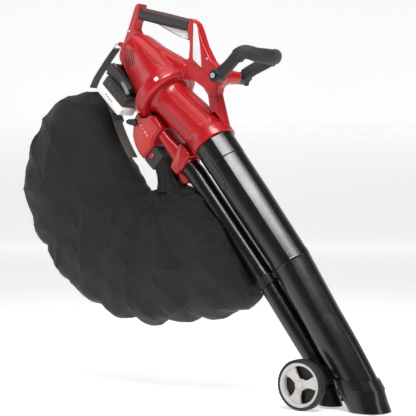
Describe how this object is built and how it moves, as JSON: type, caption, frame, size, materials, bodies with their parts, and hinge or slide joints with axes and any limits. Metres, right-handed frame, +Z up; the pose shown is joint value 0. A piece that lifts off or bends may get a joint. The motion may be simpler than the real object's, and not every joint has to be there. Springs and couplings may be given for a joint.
{
  "type": "leaf blower",
  "caption": "Cordless garden blower and vacuum with a suction tube and nozzle, a blowing tube, a leaf bag, slide-in battery packs, a second handle and ground wheels",
  "frame": {"origin": "middle of the rear hand grip, on its axis", "axes": "+X towards the nozzle at the front, +Y to the machine's left, +Z up, with the machine in its working lean"},
  "size_m": [1.1491, 0.1948, 1.032],
  "materials": {
    "red_plastic": "gloss red moulded shell",
    "black_plastic": "gloss black moulding",
    "soft_grip": "soft overmould",
    "dark_plastic": "fine grain",
    "light_plastic": "fine grain",
    "pack_plastic": "fine grain",
    "bag_cloth": "woven synthetic cloth",
    "webbing": "woven strap",
    "tyre_rubber": "plain black",
    "steel": "plain",
    "motor_metal": "plain",
    "board": "coated board"
  },
  "bodies": {
    "machine": {"axle_left": "steel", "axle_right": "steel", "bag_adaptor": "dark_plastic", "bag_edge_strap": "webbing", "bag_hook": "black_plastic", "battery_deck": "dark_plastic", "blow_duct": "red_plastic", "blow_tube_lower": "black_plastic", "blow_tube_upper": "black_plastic", "control_board": "board", "fan_casing_front": "red_plastic", "fan_casing_rear": "red_plastic", "grip_sleeve": "soft_grip", "handle_left": "red_plastic", "handle_right": "red_plastic", "handle_screw_1": "steel", "handle_screw_2": "steel", "hub_cap_left": "light_plastic", "hub_cap_right": "light_plastic", "intake_cone": "red_plastic", "leaf_bag": "bag_cloth", "motor_can": "motor_metal", "motor_housing_left": "red_plastic", "motor_housing_right": "red_plastic", "nozzle": "black_plastic", "outlet_duct": "red_plastic", "pivot_bolt": "steel", "post_trim_left": "light_plastic", "post_trim_right": "light_plastic", "shaft_bearing": "steel", "shoulder_strap": "webbing", "strap_buckle": "dark_plastic", "strap_lug": "red_plastic", "strap_ring": "steel", "suction_tube_lower": "black_plastic", "suction_tube_upper": "black_plastic", "trigger_pin": "steel", "trigger_switch": "dark_plastic", "tube_clip": "black_plastic", "tube_collar": "red_plastic", "wheel_carrier": "black_plastic"},
    "trigger": {"trigger": "light_plastic"},
    "rotor": {"motor_shaft": "steel", "impeller": "black_plastic", "impeller_nut": "steel"},
    "second_handle": {"aux_handle": "black_plastic", "aux_grip": "soft_grip"},
    "clamp_knob": {"clamp_knob": "black_plastic"},
    "wheel_right": {"wheel_hub_right": "light_plastic", "tyre_right": "tyre_rubber"},
    "wheel_left": {"wheel_hub_left": "light_plastic", "tyre_left": "tyre_rubber"},
    "pack_right": {"pack_shoe_right": "dark_plastic", "pack_case_right": "pack_plastic"},
    "pack_left": {"pack_shoe_left": "dark_plastic", "pack_case_left": "pack_plastic"},
    "pack_button_right": {"pack_button_right": "dark_plastic"},
    "pack_button_left": {"pack_button_left": "dark_plastic"},
    "bag_release_button": {"bag_release_button": "red_plastic"},
    "mode_selector": {"mode_selector": "black_plastic"}
  },
  "joints": [
    {"name": "trigger_pivot", "type": "hinge", "parent": "machine", "child": "trigger", "pos_m": [-0.01, 0, -0.0045], "axis": [0, 1, 0], "range_deg": [-7, 0], "stiffness_Nm_per_rad": 0.6, "springref_deg": 20.05},
    {"name": "fan_spin", "type": "hinge", "parent": "machine", "child": "rotor", "pos_m": [0.0238, 0, -0.2144], "axis": [0.7193, 0, -0.6947], "continuous": true},
    {"name": "second_handle_swing", "type": "hinge", "parent": "machine", "child": "second_handle", "pos_m": [0.205, 0, -0.161], "axis": [0, 1, 0], "range_deg": [-20, 20]},
    {"name": "clamp_knob_turn", "type": "hinge", "parent": "machine", "child": "clamp_knob", "pos_m": [0.205, 0.075, -0.161], "axis": [0, 1, 0], "continuous": true},
    {"name": "wheel_right_roll", "type": "hinge", "parent": "machine", "child": "wheel_right", "pos_m": [0.476, -0.078, -0.921], "axis": [0, 1, 0], "continuous": true},
    {"name": "wheel_left_roll", "type": "hinge", "parent": "machine", "child": "wheel_left", "pos_m": [0.476, 0.078, -0.921], "axis": [0, 1, 0], "continuous": true},
    {"name": "pack_right_slide", "type": "slide", "parent": "machine", "child": "pack_right", "axis": [-0.7193, 0, 0.6947], "range_m": [0, 0.11]},
    {"name": "pack_left_slide", "type": "slide", "parent": "machine", "child": "pack_left", "axis": [-0.7193, 0, 0.6947], "range_m": [0, 0.11]},
    {"name": "pack_button_right_press", "type": "slide", "parent": "pack_right", "child": "pack_button_right", "axis": [0.7193, 0, -0.6947], "range_m": [0, 0.0024], "stiffness_N_per_m": 400, "springref_m": -0.002},
    {"name": "pack_button_left_press", "type": "slide", "parent": "pack_left", "child": "pack_button_left", "axis": [0.7193, 0, -0.6947], "range_m": [0, 0.0024], "stiffness_N_per_m": 400, "springref_m": -0.002},
    {"name": "bag_release_press", "type": "slide", "parent": "machine", "child": "bag_release_button", "axis": [0, 1, 0], "range_m": [0, 0.0025], "stiffness_N_per_m": 400, "springref_m": -0.002},
    {"name": "mode_selector_turn", "type": "hinge", "parent": "machine", "child": "mode_selector", "pos_m": [-0.06571, 0, -0.27254], "axis": [0, 1, 0], "range_deg": [-8, 12]}
  ]
}
